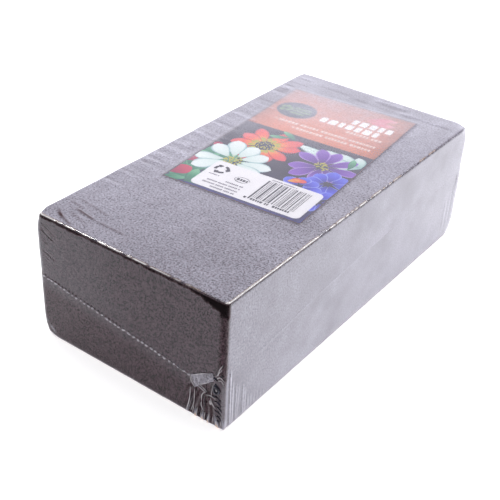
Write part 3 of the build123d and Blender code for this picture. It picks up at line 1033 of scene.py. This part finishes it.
def tube(path, radius, outward, sides=8):
    """A tube along a path in mm, with a radius at each point: a ring of sides points round each place,
    spanned by the outward direction and the one square to it and to the path."""
    path, outward = np.asarray(path, float), np.asarray(outward, float)
    way = np.gradient(path, axis=0)
    way /= np.maximum(np.linalg.norm(way, axis=1), 1e-9)[:, None]
    aside = np.cross(way, outward)
    aside /= np.maximum(np.linalg.norm(aside, axis=1), 1e-9)[:, None]
    angle = np.linspace(0, 2 * np.pi, sides, endpoint=False)
    spoke = np.cos(angle)[None, :, None] * outward + np.sin(angle)[None, :, None] * aside[:, None]
    rings = path[:, None] + np.asarray(radius)[:, None, None] * spoke
    number = np.arange(rings.shape[0] * sides).reshape(-1, sides)
    after = np.roll(number, -1, axis=1)
    quads = np.stack([number[:-1], after[:-1], after[1:], number[1:]], -1).reshape(-1, 4)
    return rings.reshape(-1, 3), quads


def join_tubes(name, tubes, material):
    """One mesh object of several tubes, with its poles closed and its faces turned outwards."""
    starts = np.cumsum([0] + [len(points) for points, _ in tubes])
    points = np.concatenate([part for part, _ in tubes])
    quads = np.concatenate([part + start for (_, part), start in zip(tubes, starts)])
    made = new_mesh(name, points, quads, material)
    work = bmesh.new()
    work.from_mesh(made.data)
    bmesh.ops.remove_doubles(work, verts=work.verts, dist=1e-7)
    bmesh.ops.recalc_face_normals(work, faces=work.faces)
    work.to_mesh(made.data)
    work.free()
    return made


BEAT = 2.7  # mm between beads


def along_line(places, size, seed):
    """Noise along a line, at places in mm."""
    return noise(np.column_stack([places, np.zeros(len(places)), np.zeros(len(places))]), size, seed)


def bead_radius(places, seed):
    """Radius along a weld, with its ends closed: a thread of 0.04 mm that swells to 0.42 mm in beads. The
    swell is 0.15 + 1.2 * a sine of the beat, plus noise that breaks it up, kept between 0 and 1."""
    beat = np.sin(2 * np.pi * places / BEAT + 1.6 * along_line(places, 5, seed))
    swell = 0.15 + 1.2 * beat + 1.1 * along_line(places, 1.0, seed) + 0.6 * along_line(places, 14, seed + 1)
    radius = 0.04 + 0.38 * np.clip(swell, 0, 1)
    radius[[0, -1]] = 0
    return radius


# Film that melted and set again is whitish and nearly opaque, with a soft shine.
melted_film, tree = new_material("melted_film_bead")
place_on = add_node(tree, "ShaderNodeTexCoord")
MELT = 1.8  # mm: the bar melted the film unevenly, from bead to bead
beads = add_node(
    tree, "ShaderNodeTexNoise",
    {"Vector": place_on.outputs["Object"], "Scale": 1 / (MELT * MM), "Detail": 2.0},
)
tint = add_node(
    tree, "ShaderNodeMix",
    {"Factor": beads.outputs[0], 6: paint("#B8AEBA"), 7: paint("#F2ECF4")}, data_type="RGBA",
)
shader = add_node(
    tree, "ShaderNodeBsdfPrincipled",
    {"Base Color": tint.outputs[2], "Roughness": 0.3, "IOR": 1.5, "Alpha": 0.9},
)
finish_material(tree, shader)

# The end welds run on round the left upright edge, by radius * (1 - sqrt(1 - (d/radius)^2)) inwards at d
# past the edge's start, and end under the ear.
weld_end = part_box("weld_front")[1][0] / MM
for node, side, seed in (("weld_front", -1, 71), ("weld_back", 1, 75)):
    places = np.arange(-film_half[0] - 1.6, weld_end + 1.5, 0.22)
    line = leaf_line(places, side * film_high[1]) + 0.34 * along_line(places, 1.7, seed + 2)
    past = np.maximum(-film_half[0] - places, 0) / FILM_UPRIGHT_RADIUS
    inward = FILM_UPRIGHT_RADIUS * (1 - np.sqrt(1 - past**2))
    path = np.column_stack([places, side * (film_high[1] + 0.16 - inward), line])
    weld = join_tubes(node + "_bead", [tube(path, bead_radius(places, seed), (0, side, 0))], melted_film)
    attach(weld, "root")
    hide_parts(node)
places = np.arange(-film_half[1] - 1.2, film_half[1] + 1.2, 0.3)
line = leaf_line(-film_high[0], places) + 0.22 * along_line(places, 2.0, 81)
path = np.column_stack([np.full(len(places), -film_high[0] - 0.1), places, line])
weld = join_tubes("weld_left_side_bead", [tube(path, bead_radius(places, 83), (-1, 0, 0))], melted_film)
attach(weld, "root")
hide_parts("weld_left_side")

# ------------------------------------------------------------------------------------------------
# Ears. At both ends of the fold the spare film is gathered against the brick's end: a small flat flap
# that narrows to a knot at the upright edge, with pulled threads, curls and a vent hole below it.


def curve(corners, count=25):
    """A smooth curve through corner points: each coordinate is blended along the run by a Catmull-Rom
    spline, with the first and last points repeated."""
    corners = np.asarray(corners, float)
    padded = np.concatenate([2 * corners[:1] - corners[1:2], corners, 2 * corners[-1:] - corners[-2:-1]])
    place = np.linspace(0, len(corners) - 1 - 1e-9, count)
    index, t = place.astype(int), (place % 1)[:, None]
    a, b, c, d = (padded[index + shift] for shift in range(4))
    return 0.5 * (2 * b + (c - a) * t + (2 * a - 5 * b + 4 * c - d) * t**2 + (3 * b - a - 3 * c + d) * t**3)


def thread(corners, radius, side, height):
    """A pulled thread of film on an end of the brick, through (x, z) corners, height mm off the film. At
    the share t of its length its radius is 0.75 * radius * sin(pi * t)^0.5, and its ends are closed."""
    run = curve(corners)
    share = np.linspace(0, 1, len(run))
    path = np.column_stack([run[:, 0], np.full(len(run), side * (film_high[1] + height)), run[:, 1]])
    thickness = 0.75 * radius * np.sin(np.pi * share) ** 0.5
    thickness[[0, -1]] = 0
    return tube(path, thickness, (0, side, 0), 6)


STREAK = 1.1  # mm: width of the drawn streaks in gathered film


def film_layers(name, light, dark, hide):
    """Film in several layers: glossy, with upright streaks that shift its colour from dark to light and
    its alpha by 0.15 to both sides of hide."""
    material, tree = new_material(name)
    place_on = add_node(tree, "ShaderNodeTexCoord")
    stretch = add_node(tree, "ShaderNodeMapping", {0: place_on.outputs["Object"], "Scale": (1.0, 1.0, 0.45)})
    streaks = add_node(
        tree, "ShaderNodeTexNoise", {"Vector": stretch.outputs[0], "Scale": 1 / (STREAK * MM), "Detail": 3.0}
    )
    tint = add_node(
        tree, "ShaderNodeMix",
        {"Factor": streaks.outputs[0], 6: paint(dark), 7: paint(light)}, data_type="RGBA",
    )
    alpha = add_node(
        tree, "ShaderNodeMapRange",
        {"Value": streaks.outputs[0], "From Min": 0.3, "From Max": 0.7,
         "To Min": hide - 0.15, "To Max": hide + 0.15},
    )
    shader = add_node(
        tree, "ShaderNodeBsdfPrincipled",
        {"Base Color": tint.outputs[2], "Alpha": alpha.outputs[0], "Roughness": 0.25, "IOR": 1.5},
    )
    finish_material(tree, shader)
    return material


flap_film = film_layers("doubled_film", "#DAD6E4", "#625C6A", 0.48)
thread_film = film_layers("pulled_film_thread", "#F4F0F4", "#A8A0A8", 0.75)
shadow_film = film_layers("bunched_film_shadow", "#3C3C52", "#0E0C12", 0.9)

# Threads of either ear, each a radius and the (x, z) corners that it runs through.
light_threads = [
    (0.30, (37.4, 23.0), (42.8, 26.8), (48.6, 29.9)), (0.26, (37.4, 23.0), (38.4, 21.0), (40.3, 19.6)),
    (0.30, (40.3, 19.6), (44.0, 21.9), (48.2, 25.2)), (0.26, (52.2, 30.2), (53.0, 34.2), (54.9, 38.0)),
    (0.22, (51.0, 29.4), (52.8, 32.4), (54.6, 35.4)), (0.34, (51.6, 28.7), (53.6, 30.2), (55.9, 28.9)),
    (0.26, (52.2, 27.7), (54.0, 28.7), (55.4, 27.3)), (0.30, (40.6, 19.4), (43.6, 18.6), (46.0, 17.6)),
    (0.26, (42.0, 20.2), (44.6, 19.6), (46.6, 18.4)), (0.36, (45.9, 18.4), (43.9, 15.6), (43.6, 11.6)),
    (0.32, (43.6, 11.6), (43.6, 9.0), (44.8, 6.4)), (0.30, (45.6, 16.2), (48.4, 17.4), (51.6, 16.9)),
    (0.26, (48.4, 16.0), (49.8, 13.0), (51.8, 11.4)), (0.30, (37.3, 16.9), (36.8, 9.0), (34.9, 0.8)),
    (0.28, (39.6, 16.6), (39.4, 9.0), (37.6, 2.3)), (0.24, (46.9, 27.0), (48.6, 27.2), (50.0, 28.4)),
    (0.22, (49.9, 24.2), (49.2, 20.5), (49.0, 17.4)),
    (0.34, (36.9, 23.4), (37.6, 20.4), (39.6, 17.6)), (0.22, (42.4, 24.6), (44.0, 25.2), (45.0, 26.6)),
    (0.26, (45.8, 24.4), (47.0, 25.2), (47.8, 26.8)), (0.24, (41.0, 21.0), (43.0, 20.6), (44.4, 21.8)),
]
light_threads += [
    (0.17, (39.6 + 2.1 * step, 7.2 - 0.2 * step), (39.0 + 2.2 * step, 4.2), (38.6 + 2.25 * step, 0.6))
    for step in range(8)
]
shade_threads = [
    (0.45, (48.6, 17.0), (51.4, 18.2), (54.2, 16.6)), (0.40, (49.8, 14.6), (52.2, 15.6), (54.6, 13.6)),
    (0.42, (50.6, 12.2), (52.8, 12.8), (54.9, 10.8)), (0.38, (51.0, 9.8), (53.0, 10.2), (54.9, 8.2)),
    (0.40, (51.2, 7.2), (53.2, 7.4), (54.9, 5.6)), (0.34, (51.4, 4.8), (53.2, 4.8), (54.7, 3.2)),
    (0.50, (49.2, 27.9), (50.6, 28.2), (52.0, 27.2)), (0.42, (50.6, 25.4), (51.4, 23.6), (52.6, 21.4)),
    (0.28, (46.2, 20.8), (46.0, 18.8), (47.0, 17.2)), (0.20, (45.4, 15.4), (45.2, 12.4), (46.0, 9.8)),
    (0.20, (38.4, 14.0), (38.0, 8.4), (36.4, 2.4)), (0.30, (52.8, 29.2), (54.2, 31.4), (55.3, 31.8)),
]
shade_threads += [
    (0.17, (40.7 + 2.1 * step, 7.4 - 0.2 * step), (40.2 + 2.2 * step, 4.2), (39.8 + 2.25 * step, 1.2))
    for step in range(7)
]
FLAP = np.array([[(36.8, 23.4), (49.6, 30.8)], [(39.6, 17.4), (50.2, 26.6)]])  # (x, z) of its four corners
FLAP_GRID = (36, 16)
VENT = (51.6, 22.2)  # (x, z) of the vent hole's middle
for node, side in (("film_ear_front", -1), ("film_ear_back", 1)):
    # The flap: its four corners blended evenly in both directions. It stands 0.28 mm off the film and
    # 0.4 mm more in its middle, with long ripples of 0.1 mm.
    s, t = (grid.ravel() for grid in np.meshgrid(*(np.linspace(0, 1, n) for n in FLAP_GRID), indexing="ij"))
    weights = np.stack([(1 - t) * (1 - s), (1 - t) * s, t * (1 - s), t * s], -1)
    x, z = (weights @ FLAP.reshape(4, 2)).T
    rise = 0.28 + 0.4 * np.sin(np.pi * s) * np.sin(np.pi * t) + 0.10 * np.sin(9 * s + 14 * t)
    points = np.column_stack([x, side * (film_high[1] + rise), z])
    quads = grid_quads(np.arange(len(points)).reshape(FLAP_GRID))
    flap = new_mesh(node + "_flap", points, quads[:, ::-1] if side < 0 else quads, flap_film)
    layers = flap.modifiers.new("two_layers", "SOLIDIFY")
    layers.thickness = 0.06 * MM
    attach(flap, "root")
    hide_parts(node)
    # The threads, pale as painted highlights on the folds of pulled film; dark tubes between them as painted
    # shade; and the vent hole's rim, a dark ring of painted shade.
    light = [thread(corners, radius, side, 0.3) for radius, *corners in light_threads]
    dark = [thread(corners, radius, side, 0.18) for radius, *corners in shade_threads]
    around = np.radians(np.linspace(0, 360, 25))
    ring = np.column_stack([
        VENT[0] + 1.5 * np.cos(around),
        np.full(25, side * (film_high[1] + 0.3)),
        VENT[1] + 1.9 * np.sin(around),
    ])
    dark.append(tube(ring, np.full(25, 0.5), (0, side, 0), 6))
    # Two pale blobs as painted highlights: one below the flap and one in the vent hole.
    light.append(thread(((48.0, 14.4), (48.6, 13.4), (48.9, 12.4)), 0.8, side, 0.3))
    light.append(thread(((51.3, 22.7), (51.6, 22.1), (51.9, 21.5)), 0.5, side, 0.3))
    for kind, tubes, material in (("threads", light, thread_film), ("shade_tubes", dark, shadow_film)):
        gather = join_tubes(f"{node}_{kind}", tubes, material)
        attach(gather, "root")
